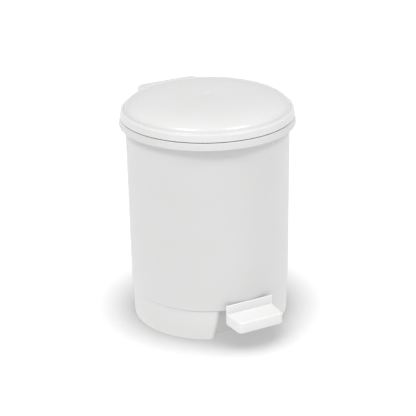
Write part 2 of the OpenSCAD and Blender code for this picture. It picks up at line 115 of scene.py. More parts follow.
# %% [markdown]
# ## Sections with rounded corners
#
# Most of a bin is round, and its mould is turned on a lathe from a section, the outline of one
# half. A sharp inner corner would weaken a moulding and a sharp outer one would not fill, so a
# corner is given with a radius, and a short arc takes its place before anything is drawn. A
# bevel after turning would round the corners too, but the thin wall leaves it little room.

# %% Corners and arcs
def arc(before, corner, after, radius, steps):
    """Points of the arc that rounds a corner between two straight runs."""
    to_before = (before - corner).normalized()
    to_after = (after - corner).normalized()
    half = to_before.angle(to_after) / 2
    middle = corner + (to_before + to_after).normalized() * (radius / math.sin(half))
    start = corner + to_before * (radius / math.tan(half)) - middle
    end = corner + to_after * (radius / math.tan(half)) - middle
    turn = start.angle(end)
    blend = [(math.sin(turn * (1 - i / steps)), math.sin(turn * i / steps))
             for i in range(steps + 1)]
    return [middle + (start * a + end * b) / math.sin(turn) for a, b in blend]


def upright(out, height):
    """Where a section's point lies: out from the axis along X, and up."""
    return Vector((out, 0, height))


def section(corners, steps=5, place=upright):
    """The outline through (a, b) or (a, b, radius) corners, with an arc where a radius is given."""
    flat = [place(c[0], c[1]) for c in corners]
    points = []
    for i, corner in enumerate(corners):
        if len(corner) == 3:
            after = flat[(i + 1) % len(flat)]
            points += arc(flat[i - 1], flat[i], after, corner[2], steps)
        else:
            points.append(flat[i])
    return points

# %% [markdown]
# ## Drawing a section and turning it
#
# In Blender a section is an open chain of edges: a tiny plane is merged to one point, and that
# point is extruded from corner to corner. The spin operator then sweeps the chain round the Z
# axis. A cylinder with loops cut into it gives the same shape, but a section is easier to read
# and to change. Operators act on all that is selected, so everything is deselected first.

# %% Draw and turn
def deselect():
    bpy.ops.object.select_all(action="DESELECT")


def activate(piece):
    deselect()
    piece.select_set(True)
    bpy.context.view_layer.objects.active = piece


def settle(piece):
    """Leaves edit mode and puts the piece's place into its mesh."""
    bpy.ops.object.mode_set(mode="OBJECT")
    activate(piece)
    bpy.ops.object.transform_apply(location=True, rotation=True, scale=True)


def sketch(name, points):
    """A chain of edges through the points, drawn by extruding one vertex."""
    deselect()
    bpy.ops.mesh.primitive_plane_add(size=MM, location=points[0])
    piece = bpy.context.object
    piece.name = piece.data.name = name
    bpy.ops.object.mode_set(mode="EDIT")
    bpy.ops.mesh.select_mode(type="VERT")
    bpy.ops.mesh.select_all(action="SELECT")
    bpy.ops.mesh.merge(type="CENTER")
    for here, there in zip(points, points[1:]):
        bpy.ops.mesh.extrude_vertices_move(TRANSFORM_OT_translate={"value": there - here})
    settle(piece)
    return piece


def close_up(piece):
    """Merges points that lie on each other and turns every face outwards."""
    activate(piece)
    bpy.ops.object.mode_set(mode="EDIT")
    bpy.ops.mesh.select_all(action="SELECT")
    bpy.ops.mesh.remove_doubles(threshold=HAIR)
    bpy.ops.mesh.normals_make_consistent(inside=False)
    settle(piece)


def turned(name, points, steps=192):
    """A solid of revolution about Z from a section."""
    piece = sketch(name, points)
    bpy.ops.object.mode_set(mode="EDIT")
    bpy.ops.mesh.select_all(action="SELECT")
    bpy.ops.mesh.spin(steps=steps, angle=math.tau, center=(0, 0, 0), axis=(0, 0, 1))
    settle(piece)
    close_up(piece)
    return piece

# %% [markdown]
# ## Choosing edges and rounding them
#
# A bevel rounds the edges that are selected. They are chosen by a small test that looks at the
# two ends of every edge, and so by where the edge lies or which way it runs. A Bevel modifier
# with an angle limit needs no choosing, but it rounds every corner alike, and most pieces here
# want a big radius in one place and a small one in another.

# %% Choose and round edges
def select_edges(piece, chosen):
    """Selects the edges for which chosen(start, end) is true, in edit mode."""
    bpy.ops.mesh.select_mode(type="EDGE")
    bpy.ops.mesh.select_all(action="DESELECT")
    bpy.ops.object.mode_set(mode="OBJECT")
    points = piece.data.vertices
    for edge in piece.data.edges:
        edge.select = chosen(*(points[v].co for v in edge.vertices))
    bpy.ops.object.mode_set(mode="EDIT")


def bevel_edges(piece, chosen, radius, segments=4):
    activate(piece)
    bpy.ops.object.mode_set(mode="EDIT")
    select_edges(piece, chosen)
    bpy.ops.mesh.bevel(offset=radius, segments=segments, affect="EDGES")
    settle(piece)
    return piece


def is_upright(a, b):
    """True for an edge that runs along Z."""
    return (b - a).length > 0 and abs((b - a).normalized().z) > 0.999


def is_steep(a, b):
    """True for an edge that leans a little from upright at the most."""
    return abs((b - a).z) > 0.9 * (b - a).length

# %% [markdown]
# ## Blocks, bars and plates
#
# What isn't round starts as a cube or a cylinder of the right size, or as an outline that is
# filled and then extruded to its thickness. Each can come out of its function with its edges
# already rounded, as a moulded ear or a turned pin has them.

# %% Blocks, bars and plates
BAR_SIDES = 48


def block(name, low, high, radius=0):
    """A box between two corners, with all its edges rounded when a radius is given."""
    deselect()
    low, high = Vector(low), Vector(high)
    bpy.ops.mesh.primitive_cube_add(size=1, location=(low + high) / 2, scale=high - low)
    piece = bpy.context.object
    piece.name = piece.data.name = name
    settle(piece)
    if radius:
        bevel_edges(piece, lambda a, b: True, radius, 3)
    return piece


def bar(name, start, end, radius, edge=0):
    """A round bar or a pin from start to end, with its two rims rounded when an edge is given."""
    deselect()
    start, end = Vector(start), Vector(end)
    along = end - start
    bpy.ops.mesh.primitive_cylinder_add(
        vertices=BAR_SIDES, radius=radius, depth=along.length, location=(start + end) / 2,
        rotation=along.to_track_quat("Z", "Y").to_euler())
    piece = bpy.context.object
    piece.name = piece.data.name = name
    settle(piece)
    if edge:
        def on_rim(a, b):
            return abs((b - a).normalized().dot(along.normalized())) < 0.5
        bevel_edges(piece, on_rim, edge, 3)
    return piece


def prism(name, points, along, edge=0):
    """A flat outline filled, extruded along a vector, and rounded at both ends when an edge is given.
    """
    piece = sketch(name, points)
    bpy.ops.object.mode_set(mode="EDIT")
    bpy.ops.mesh.select_all(action="SELECT")
    bpy.ops.mesh.edge_face_add()
    bpy.ops.mesh.extrude_region_move(TRANSFORM_OT_translate={"value": along})
    settle(piece)
    close_up(piece)
    if edge:
        way = Vector(along).normalized()
        bevel_edges(piece, lambda a, b: abs((b - a).dot(way)) < HAIR, edge, 2)
    return piece


def plate(name, outline, x0, x1, edge=0):
    """An outline of (y, z) points given a thickness from x0 to x1."""
    return prism(name, [Vector((x0, y, z)) for y, z in outline], (x1 - x0, 0, 0), edge)

# %% [markdown]
# ## Copying, joining and cutting
#
# An ear or a lug is made once, and its mirrored copy gets a mesh of its own. Two solids are
# joined, or one is cut out of the other, with a Boolean modifier that is applied at once.
# Extruding everything out of one mesh would avoid the Booleans, but it would tie an ear's edges
# to the turned wall's edges.

# %% Copy, join and cut
def mirrored(piece):
    """A copy of the piece on the other side of the YZ plane, with its own mesh."""
    activate(piece)
    bpy.ops.object.duplicate()
    copy = bpy.context.object
    copy.scale.x = -1
    settle(copy)
    close_up(copy)
    return copy


def both_sides(piece):
    return [piece, mirrored(piece)]


def joined(pieces):
    """Makes one object of several that don't touch."""
    activate(pieces[0])
    for piece in pieces[1:]:
        piece.select_set(True)
    if len(pieces) > 1:
        bpy.ops.object.join()
    return bpy.context.object


def combine(piece, others, how):
    """Adds the others to the piece (UNION) or cuts them out of it (DIFFERENCE)."""
    other = joined(others)
    change = piece.modifiers.new(how.title(), "BOOLEAN")
    change.operation = how
    change.solver = "EXACT"
    change.object = other
    activate(piece)
    bpy.ops.object.modifier_apply(modifier=change.name)
    bpy.data.meshes.remove(other.data)
    return piece

# %% [markdown]
# ## What every finished piece gets
#
# A finished piece is closed, and shaded smooth wherever its faces meet at a shallow angle. Then
# it is attached to the body that it moves with, and the nodes of the frame that it stands for are
# hidden. Flat shading on finer meshes would look the same and weigh much more.

# %% Finish a piece
SMOOTH_ANGLE = math.radians(35)


def finished(piece, body, nodes):
    """Smooth shading, the body that the piece moves with and the nodes that it stands for."""
    close_up(piece)
    activate(piece)
    bpy.ops.object.shade_smooth_by_angle(angle=SMOOTH_ANGLE)
    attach(piece, body)
    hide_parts(*nodes)
    faces = sum(len(p.vertices) - 2 for p in piece.data.polygons)
    print(f"{piece.name}: {faces} triangles")
    return piece

# %% [markdown]
# ## The outer shell
#
# One injection moulding: floor, tapered wall, flat rim and a collar that hangs round the rim
# and stiffens it. The wall leans out by 1.6 mm so that the moulding leaves its core. The
# section below goes once round all of that, from the middle of the floor's underside, out, up,
# round the collar and back down the inside.

# %% Turn the shell
floor_top = shell_bottom + WALL
collar_under = rim_z - WALL


def shell_r(z):
    """Outer radius of the shell at height z."""
    return shell_low_r + (body_r - shell_low_r) * (z - shell_bottom) / (rim_z - shell_bottom)


under_r = collar_top_r + (collar_low_r - collar_top_r) * WALL / (rim_z - collar_bottom)
shell_section = section([
    (0, shell_bottom), (shell_low_r, shell_bottom, 0.7 * MM),
    (shell_r(collar_under), collar_under, 0.8 * MM), (under_r - WALL, collar_under, 0.8 * MM),
    (collar_low_r - WALL, collar_bottom, 0.5 * MM), (collar_low_r, collar_bottom, 0.7 * MM),
    (collar_top_r, rim_z, 1.1 * MM), (body_r - WALL, rim_z, 0.7 * MM),
    (shell_r(floor_top) - WALL, floor_top, 1.5 * MM), (0, floor_top)])
outer_shell = turned("shell_moulding", shell_section)
print("points in the shell's section:", len(shell_section))

# %% [markdown]
# What is moulded on to the shell is small: two ears that hold the hinge pin, two lugs for the
# pedal's axle and four screw bosses under the floor. They are made as plates and bars, joined
# to the turned wall in one go, and the holes are cut last, so that they go clean through.

# %% Ears and lugs
PIN_R = 2 * MM
KNUCKLE_R = 4 * MM
HUB_R = 5 * MM
EAR_INSIDE = 22.5 * MM
EAR_OUTSIDE = 27 * MM
LUG_INSIDE = 17.6 * MM
LUG_OUTSIDE = 21.6 * MM
ARC_STEPS = 16


def ring_arc(y, z, radius, start, end):
    """Points of an arc in the YZ plane, in degrees from +Y towards +Z."""
    turns = [math.radians(start + (end - start) * i / ARC_STEPS) for i in range(ARC_STEPS + 1)]
    return [(y + radius * math.cos(t), z + radius * math.sin(t)) for t in turns]


def hinge_ear():
    foot_back = math.sqrt(collar_top_r ** 2 - EAR_OUTSIDE ** 2) - 0.6 * MM
    outline = [(foot_back - 6.5 * MM, rim_z - 1 * MM), (foot_back, rim_z - 1 * MM)]
    outline += ring_arc(hinge.y, hinge.z, KNUCKLE_R, -30, 150)
    return plate("ear", outline, EAR_INSIDE, EAR_OUTSIDE, edge=0.4 * MM)


def axle_lug():
    outline = [(axle.y + HUB_R + 4 * MM, shell_bottom + 0.5 * MM),
               (axle.y - HUB_R - 4 * MM, shell_bottom + 0.5 * MM)]
    outline += ring_arc(axle.y, axle.z, HUB_R, 180, 360)
    return plate("lug", outline, LUG_INSIDE, LUG_OUTSIDE, edge=0.4 * MM)


additions = both_sides(hinge_ear()) + both_sides(axle_lug())
print("ears and lugs:", len(additions))

# %% [markdown]
# The four bosses stand in a ring under the floor. A point of the ring comes from its angle, so
# the plinth's tabs can use the same angles later on. Every hole is cut by a bar that starts a
# little outside, so that no thin skin is left over it.

# %% Bosses and holes
BOSS_ANGLES = (40, 140, 220, 320)
BOSS_INSET = 10.7 * MM
BOSS_R = 4 * MM
SCREW_R = 1.5 * MM
PIN_PLAY = 0.05 * MM
SCREW_DEPTH = 12 * MM
GUIDE_HOLE_R = 3.4 * MM
up = Vector((0, 0, 1))
boss_ring = plinth_foot_r - BOSS_INSET
boss_bottom = shell_box[0].z
past_ears = Vector((EAR_OUTSIDE + MM, 0, 0))
past_lugs = Vector((LUG_OUTSIDE + MM, 0, 0))


def round_the_bin(angle, radius):
    turn = math.radians(angle)
    return Vector((radius * math.cos(turn), radius * math.sin(turn), 0))


holes = [bar("pin_hole", hinge - past_ears, hinge + past_ears, PIN_R),
         bar("axle_hole", axle - past_lugs, axle + past_lugs, PIN_R),
         bar("guide_hole", (0, rod_y, floor_top + MM), (0, rod_y, shell_bottom - MM), GUIDE_HOLE_R)]
for angle in BOSS_ANGLES:
    foot = round_the_bin(angle, boss_ring) + up * boss_bottom
    head = foot + up * (floor_top - MM - boss_bottom)
    additions.append(bar("boss", foot, head, BOSS_R, 0.4 * MM))
    holes.append(bar("screw_hole", foot - up * MM, foot + up * SCREW_DEPTH, SCREW_R))
combine(outer_shell, additions, "UNION")
combine(outer_shell, holes, "DIFFERENCE")
finished(outer_shell, "shell", ["outer_shell"])

# %% [markdown]
# ## The plinth
#
# A separate ring that screws on under the floor. Its top edge stands back under the shell,
# which gives the thin line round the bin, and at the front it turns softly into a recess for
# the pedal, with two side walls and a rear wall. It is a sheet of one thickness, so it is
# modelled as a sheet: a turned wall without its front, whose two slanted edges are extruded
# round the corners, a bridge between them for the rear wall, and a Solidify modifier.

# %% The plinth's sheet
NOTCH_TOP = 29.8 * MM
NOTCH_FOOT = 37 * MM
RECESS_DEPTH = 18 * MM
CORNER_R = 5 * MM
INNER_R = 2 * MM
FINE_TURN = 256
recess_front = plinth_foot_r - RECESS_DEPTH

plinth = turned("plinth_moulding", section([
    (plinth_foot_r, 0), (plinth_top_r, plinth_top)]), steps=FINE_TURN)

# The corner turns from the ring's run to straight back, so the cut stands off by its width
run_angle = math.asin((NOTCH_TOP + NOTCH_FOOT) / 2 / plinth_top_r)
stand_off = CORNER_R * (1 + math.sin(run_angle))
slope = (NOTCH_FOOT - NOTCH_TOP) / plinth_top

activate(plinth)
bpy.ops.object.mode_set(mode="EDIT")
for side in (-1, 1):
    select_edges(plinth, lambda a, b: a.y < 0 and b.y < 0 and a.x * side > 0)
    bpy.ops.mesh.select_mode(type="FACE")
    bpy.ops.mesh.bisect(plane_co=(side * (NOTCH_FOOT + stand_off), 0, 0),
                        plane_no=(-side, 0, -slope), clear_outer=True)
settle(plinth)
print(f"corner stands off by {stand_off / MM:.1f} mm")

# %% [markdown]
# The two slanted edges are now run round the outer corner. Each short extrusion turns a little
# further, until the edge travels straight back. The edge is then set flat, run round the tight
# inner corner, and the two sides are bridged. Solidify then gives the sheet its wall.

# %% Turn the corners and close the recess
def run_round(side, radius, start, end, steps):
    """Extrudes the selected edge along an arc; a heading of 0 is inwards and a quarter is back."""
    step = (end - start) / steps
    length = 2 * radius * math.sin(abs(step) / 2)
    for i in range(steps):
        heading = start + step * (i + 0.5)
        bpy.ops.mesh.extrude_edges_move(TRANSFORM_OT_translate={
            "value": (-side * length * math.cos(heading), length * math.sin(heading), 0)})


def turn_into_recess(side):
    """Extrudes one slanted edge of the sheet round both its corners, and says where it ends."""
    activate(plinth)
    bpy.ops.object.mode_set(mode="EDIT")
    far = NOTCH_FOOT + 2 * stand_off

    def slanted(a, b):
        return (a.y < 0 and b.y < 0 and 0 < a.x * side < far and 0 < b.x * side < far
                and is_steep(a, b)
                and all(abs(p.x * side - (NOTCH_FOOT + stand_off - slope * p.z)) < 0.05 * MM
                        for p in (a, b)))
    select_edges(plinth, slanted)
    run_round(side, CORNER_R, -run_angle, math.pi / 2, 10)
    bpy.ops.mesh.extrude_edges_move(TRANSFORM_OT_translate={"value": (0, MM, 0)})
    bpy.ops.transform.resize(value=(1, 0, 1), center_override=(0, -recess_front - INNER_R, 0))
    run_round(side, INNER_R, math.pi / 2, 0, 5)
    settle(plinth)
    return [Vector(v.co) for v in plinth.data.vertices if v.select]


def apply_modifiers(piece):
    activate(piece)
    for change in list(piece.modifiers):
        bpy.ops.object.modifier_apply(modifier=change.name)


ends = turn_into_recess(-1) + turn_into_recess(1)
activate(plinth)
bpy.ops.object.mode_set(mode="EDIT")
select_edges(plinth, lambda a, b: is_steep(a, b)
             and all(min((p - end).length for end in ends) < HAIR for p in (a, b)))
bpy.ops.mesh.bridge_edge_loops()
settle(plinth)
close_up(plinth)
thickness = plinth.modifiers.new("Wall", "SOLIDIFY")
thickness.thickness = WALL
thickness.offset = -1
thickness.use_even_offset = True
soften = plinth.modifiers.new("Soft edges", "BEVEL")
soften.width = 0.5 * MM
soften.segments = 3
soften.limit_method = "ANGLE"
soften.angle_limit = math.radians(50)
apply_modifiers(plinth)
print("faces in the plinth's wall:", len(plinth.data.polygons))

# %% [markdown]
# Four flat tabs inside take the screws that go up into the shell's bosses. Each is a block that
# is turned to its boss's angle. A slot in the rear wall is left for the pedal's lever, which
# comes down in it: its depth follows from how far the lever sinks when the pedal is pressed.

# %% Tabs and the lever's slot
TAB_HALF = 6 * MM
TAB_THICK = 2.5 * MM
TAB_HOLE_R = 1.7 * MM
SLOT_HALF = 8 * MM
tabs, tab_holes = [], []
for angle in BOSS_ANGLES:
    tab = block("tab", (boss_ring - TAB_HALF, -TAB_HALF, boss_bottom - TAB_THICK),
                (plinth_foot_r - 1.2 * MM, TAB_HALF, boss_bottom), 0.4 * MM)
    tab.rotation_euler.z = math.radians(angle)
    settle(tab)
    tabs.append(tab)
    middle = round_the_bin(angle, boss_ring) + up * boss_bottom
    tab_holes.append(bar("tab_hole", middle - up * 4 * MM, middle + up * MM, TAB_HOLE_R))
lever_drop = math.sin(pedal_angle) * (recess_front + axle.y)
slot = block("lever_slot", (-SLOT_HALF, -recess_front - MM, axle.z - lever_drop - 2 * MM),
             (SLOT_HALF, -recess_front + WALL + MM, plinth_top + MM))
combine(plinth, tabs, "UNION")
combine(plinth, tab_holes + [slot], "DIFFERENCE")
finished(plinth, "shell", ["plinth_ring"])

# %% [markdown]
# ## The lid
#
# The lid's outside is a dome with a flat step round it and a short skirt. The dome's curve is
# squarer than a circle, which gives the flat top and the tight shoulder that such lids have: a
# superellipse needs only its two powers. A shallow ring in the middle is what the injection
# point leaves. Over the hinge the lid grows a hood. The outside is made solid, with its hood,
# and then it is hollowed by the space under it.

# %% The dome's curve
OUT_POWER = 3.8
UP_POWER = 2.18
DOME_TURNS = [80 - 3 * i for i in range(26)]


def dome_curve(radius, base):
    """Points of the dome's section, from just above its foot to just beside its crown."""
    points = []
    for turn in DOME_TURNS:
        t = math.radians(turn)
        points.append((radius * math.sin(t) ** (2 / OUT_POWER),
                       base + dome_h * math.cos(t) ** (2 / UP_POWER)))
    return points


def dome_height(out):
    """Height of the dome's outside at a distance from the axis."""
    return step_z + dome_h * (1 - (out / dome_r) ** OUT_POWER) ** (1 / UP_POWER)


print(f"dome {dome_h / MM:.1f} mm high, {(dome_height(dome_r / 2) - step_z) / MM:.1f} mm halfway out")

# %% [markdown]
# The outside and the space under it are turned in the same way. The space is a wall smaller all
# over, and its foot hangs a little below the skirt, so that the cut goes clean through.

# %% The lid's outside and inside
GATE_R = 3 * MM
GATE_DEPTH = 0.25 * MM
crown = step_z + dome_h
step_under = step_z - WALL
under_dome_r = dome_r - WALL
lid = turned("lid_moulding", section(
    [(0, skirt_bottom), (collar_top_r, skirt_bottom, 0.6 * MM), (skirt_top_r, step_z, 1.2 * MM),
     (dome_r, step_z, 1.6 * MM)] + dome_curve(dome_r, step_z)
    + [(GATE_R, crown, 0.2 * MM), (GATE_R - 0.3 * MM, crown - GATE_DEPTH, 0.2 * MM),
       (0, crown - GATE_DEPTH)]), steps=FINE_TURN)
lid_space = turned("lid_space", section(
    [(0, skirt_bottom - MM), (collar_top_r - MM, skirt_bottom - MM),
     (collar_top_r - MM, skirt_bottom - HAIR),
     (collar_top_r - WALL, skirt_bottom - HAIR, 0.6 * MM),
     (skirt_top_r - WALL, step_under, 1.2 * MM), (under_dome_r, step_under, MM)]
    + dome_curve(under_dome_r, step_under)
    + [(0, step_under + dome_h)]), steps=FINE_TURN)
print(f"lid wall at the crown: {(crown - step_under - dome_h) / MM:.1f} mm")

# %% [markdown]
# The hood is a block with two big rounded corners at the back and a soft top edge. Its lower
# rear edge is cut away at a slant, because it swings down behind the ears as the lid opens.

# %% The hood
HOOD_WALL = 1.8 * MM
HOOD_CORNER = 13 * MM
HOOD_AHEAD = 18 * MM
HOOD_SPACE_AHEAD = 11.5 * MM


def rear_corner(a, b):
    return is_upright(a, b) and a.y > hinge.y


def hood_block(name, half_w, front, back, low, high, corner, top_edge):
    """A block with rounded rear corners and a rounded top edge, open to nothing at the front."""
    piece = block(name, (-half_w, front, low), (half_w, back, high))
    bevel_edges(piece, rear_corner, corner, 10)

    def top(a, b):
        return min(a.z, b.z) > high - HAIR and max(a.y, b.y) > front + MM
    return bevel_edges(piece, top, top_edge, 5)


hood = hood_block("hood", hood_half_w, hinge.y - HOOD_AHEAD, hood_back, skirt_bottom, hood_top,
                  HOOD_CORNER, 2.4 * MM)
hood_cut_z = hinge.z + 0.5 * MM
hood_cut = plate("hood_cut", [
    (hinge.y - 3.8 * MM, skirt_bottom - MM), (hinge.y + 4 * MM, hood_cut_z),
    (hood_back + MM, hood_cut_z), (hood_back + MM, skirt_bottom - MM)],
    -hood_half_w - MM, hood_half_w + MM)
combine(hood, [hood_cut], "DIFFERENCE")
combine(lid, [hood], "UNION")
combine(lid, [lid_space], "DIFFERENCE")
hood_space = hood_block("hood_space", hood_half_w - HOOD_WALL, hinge.y - HOOD_SPACE_AHEAD,
                        hood_back - HOOD_WALL, skirt_bottom - MM, hood_top - HOOD_WALL,
                        HOOD_CORNER - HOOD_WALL, 1.2 * MM)
combine(lid, [hood_space], "DIFFERENCE")
print(f"hood {2 * hood_half_w / MM:.0f} mm wide")

# %% [markdown]
# Under the hood two knuckles turn on the hinge pin, between the shell's ears. Ahead of them two
# bosses take the screws of the lid's lever. They reach up into the dome's wall, so their tops
# are worked out from the dome's curve.

# %% What is moulded under the lid
KNUCKLE_INSIDE = 15 * MM
KNUCKLE_OUTSIDE = 22.1 * MM
LEVER_SCREW_X = 9 * MM
ROD_TO_SCREW = 6 * MM
LEVER_BOSS_R = 3.5 * MM


def lid_knuckle():
    web_top = hood_top - HOOD_WALL / 2
    outline = ring_arc(hinge.y, hinge.z, KNUCKLE_R, 180, 360)
    outline += [(hinge.y + KNUCKLE_R, web_top), (hinge.y - KNUCKLE_R, web_top)]
    return plate("knuckle", outline, KNUCKLE_INSIDE, KNUCKLE_OUTSIDE, edge=0.3 * MM)


lid_boss = Vector((LEVER_SCREW_X, rod_y - ROD_TO_SCREW, step_under + 0.5 * MM))
boss_top = dome_height(math.hypot(lid_boss.x, lid_boss.y) + LEVER_BOSS_R) - WALL / 4
boss = bar("lid_boss", lid_boss, (lid_boss.x, lid_boss.y, boss_top), LEVER_BOSS_R, 0.3 * MM)
combine(lid, both_sides(lid_knuckle()) + both_sides(boss), "UNION")
past_knuckles = Vector((KNUCKLE_OUTSIDE + MM, 0, 0))
pilot = bar("pilot", lid_boss - up * 2 * MM, lid_boss + up * 7 * MM, SCREW_R)
combine(lid, [bar("pin_bore", hinge - past_knuckles, hinge + past_knuckles, PIN_R + PIN_PLAY)]
        + both_sides(pilot), "DIFFERENCE")
finished(lid, "lid", ["lid"])

# %% [markdown]
# ## The pedal
#
# An upright plate and a hollow tread in one moulding. The tread is open below, so that its
# walls are all of one thickness, and ribs and two long bosses stiffen it from inside. Its front
# corners are round in plan and its top edge is soft, because a bare foot presses on it.

# %% The tread and its plate
PEDAL_WALL = 1.8 * MM
TREAD_HEIGHT = 12.9 * MM
TREAD_CORNER = 5 * MM
plate_front = pedal_box[1].y - 1.5 * MM
tread_front = pedal_box[0].y
tread_bottom = pedal_box[0].z
tread_top = tread_bottom + TREAD_HEIGHT
plate_half_w = pedal_box[1].x
front_half_w = plate_half_w - 1.5 * MM


def tread_solid(name, inset, back, low, high):
    """The tread's plan, drawn in by a wall, from one height to another."""
    side = front_half_w - inset
    front = tread_front + inset
    corner = TREAD_CORNER - inset
    wide = plate_half_w - inset
    plan = section([(-wide, back), (wide, back), (side, front, corner), (-side, front, corner)],
                   steps=10, place=lambda a, b: Vector((a, b, low)))
    return prism(name, plan, (0, 0, high - low))


tread = tread_solid("pedal_moulding", 0, plate_front + 0.7 * MM, tread_bottom, tread_top)
bevel_edges(tread, lambda a, b: min(a.z, b.z) > tread_top - HAIR, 1.4 * MM, 5)
bevel_edges(tread, lambda a, b: max(a.z, b.z) < tread_bottom + HAIR, 0.6 * MM, 3)
combine(tread, [tread_solid("tread_space", PEDAL_WALL, plate_front, tread_bottom - MM,
                            tread_top - PEDAL_WALL)], "DIFFERENCE")
standing = block("plate", (-plate_half_w, plate_front, tread_bottom),
                 (plate_half_w, pedal_box[1].y, pedal_box[1].z), 0.5 * MM)
combine(tread, [standing], "UNION")
print(f"tread {2 * plate_half_w / MM:.0f} mm wide, {(plate_front - tread_front) / MM:.0f} mm deep")

# %% [markdown]
# The lever's two screws come from behind, into long bosses that lie along the tread. Three ribs
# tie the bosses and the middle to the tread's roof. From above none of this shows, but without
# it the tread would be a flimsy shell from below.

# %% Bosses and ribs in the tread
PEDAL_SCREW_X = 12 * MM
PEDAL_SCREW_UP = 5.6 * MM
PEDAL_BOSS_R = 3.2 * MM
PEDAL_BOSS_LENGTH = 14.5 * MM
PEDAL_SCREW_LENGTH = 13 * MM
RIB_HALF = 0.7 * MM
RIB_DEPTH = 5 * MM
screw_at = Vector((PEDAL_SCREW_X, plate_front + 0.5 * MM, tread_bottom + PEDAL_SCREW_UP))
ahead = Vector((0, -1, 0))
boss = bar("pedal_boss", screw_at, screw_at + ahead * PEDAL_BOSS_LENGTH, PEDAL_BOSS_R, 0.3 * MM)
combine(tread, both_sides(boss), "UNION")
rib_bottom = tread_top - PEDAL_WALL - RIB_DEPTH
for x in (-PEDAL_SCREW_X, 0, PEDAL_SCREW_X):
    rib = block("rib", (x - RIB_HALF, tread_front + PEDAL_WALL / 2, rib_bottom),
                (x + RIB_HALF, plate_front + 0.5 * MM, tread_top - PEDAL_WALL / 2), 0.2 * MM)
    combine(tread, [rib], "UNION")
pilot = bar("pilot", screw_at - ahead * 2 * MM, screw_at + ahead * PEDAL_SCREW_LENGTH, SCREW_R)
combine(tread, both_sides(pilot), "DIFFERENCE")
finished(tread, "pedal", ["pedal"])

# %% [markdown]
# ## The bucket
#
# The bucket lifts out by its wire bail. It is turned as a cup with a thick lip that rests on
# the shell's rim, and it narrows downwards so that it comes out of its mould and out of the bin.

# %% Turn the bucket
BUCKET_WALL = 1.6 * MM
BUCKET_PLAY = 2.8 * MM
BUCKET_TAPER = 5.5 * MM
LIP_HEIGHT = 2 * MM
bucket_bottom = bucket_box[0].z
bucket_top_r = body_r - WALL - BUCKET_PLAY
bucket_base_r = bucket_top_r - BUCKET_TAPER
lip_r = bucket_box[1].x
lip_top = rim_z + LIP_HEIGHT
bucket = turned("bucket_moulding", section([
    (0, bucket_bottom), (bucket_base_r, bucket_bottom, 3 * MM), (bucket_top_r, rim_z, 0.8 * MM),
    (lip_r, rim_z, 0.5 * MM), (lip_r, lip_top, 0.7 * MM),
    (bucket_top_r - BUCKET_WALL, lip_top, 0.7 * MM),
    (bucket_base_r - BUCKET_WALL, bucket_bottom + BUCKET_WALL, 2 * MM),
    (0, bucket_bottom + BUCKET_WALL)]))
print(f"bucket {2 * bucket_top_r / MM:.0f} mm wide, {(rim_z - bucket_bottom) / MM:.0f} mm deep")

# %% [markdown]
# A flat channel in the bucket's back leaves room for the rod: a slanted wall block is added
# inside and the channel is cut out of both. The bail's two ears stand on the lip, and the lip is
# cut away at the back, where the hinge stands.

# %% The bucket's channel and ears
BAIL_R = 1.5 * MM
BAIL_EAR_FOOT = 4 * MM
CHANNEL_HALF = 14 * MM
ROD_TO_CHANNEL = 8.4 * MM
bail_z = lip_top + BAIL_R + 0.5 * MM
channel_y = rod_y - ROD_TO_CHANNEL
channel_top = lip_top - 0.5 * MM
channel_bottom = bucket_bottom + MM


def in_bucket_wall(radius):
    """How far back the channel's block reaches, to end inside the round wall."""
    side = CHANNEL_HALF + BUCKET_WALL
    return math.sqrt((radius - BUCKET_WALL / 2) ** 2 - side ** 2)


channel_wall = plate("channel_wall", [
    (channel_y - BUCKET_WALL, channel_bottom), (in_bucket_wall(bucket_base_r), channel_bottom),
    (in_bucket_wall(bucket_top_r), channel_top), (channel_y - BUCKET_WALL, channel_top)],
    -CHANNEL_HALF - BUCKET_WALL, CHANNEL_HALF + BUCKET_WALL)
ear_outline = [(-BAIL_EAR_FOOT, channel_top), (BAIL_EAR_FOOT, channel_top)]
ear_outline += ring_arc(0, bail_z, BAIL_R + 0.8 * MM, 0, 180)
bail_ear = plate("bail_ear", ear_outline, lip_r - 3.3 * MM, lip_r - 1.1 * MM, edge=0.3 * MM)
combine(bucket, [channel_wall], "UNION")
combine(bucket, both_sides(bail_ear), "UNION")
channel = block("channel", (-CHANNEL_HALF, channel_y, bucket_bottom - MM),
                (CHANNEL_HALF, collar_top_r, lip_top + MM))
hinge_gap = block("hinge_gap", (-hood_half_w, hinge.y - 12.5 * MM, rim_z - MM),
                  (hood_half_w, collar_top_r, lip_top + MM))
bail_hole = bar("bail_hole", (-lip_r, 0, bail_z), (lip_r, 0, bail_z), BAIL_R + PIN_PLAY)
for cut in (channel, hinge_gap, bail_hole):
    combine(bucket, [cut], "DIFFERENCE")
finished(bucket, "shell", ["bucket"])

# %% [markdown]
# ## Effects that the finishes share
#
# A finish is colour, roughness and a little relief, and the same few effects make all of them:
# the grain of the mould's surface, the clouds that flowing plastic leaves, the rub of hands and
# feet, dust near the floor, a painted highlight on thin edges, and the lines of drawn wire. Each
# effect is a node group, built once, that puts out a mask or a height. Images could do the same,
# but they would need a flattened surface, and these work in millimetres straight from the place.

# %% Helpers for nodes
def node_in(tree, kind, inputs, **options):
    """Adds a node; each input is a value, or a socket that is linked to it."""
    made = tree.nodes.new("ShaderNode" + kind)
    for option, value in options.items():
        setattr(made, option, value)
    for label, value in inputs.items():
        if isinstance(value, bpy.types.NodeSocket):
            tree.links.new(value, made.inputs[label])
        else:
            made.inputs[label].default_value = value
    return made


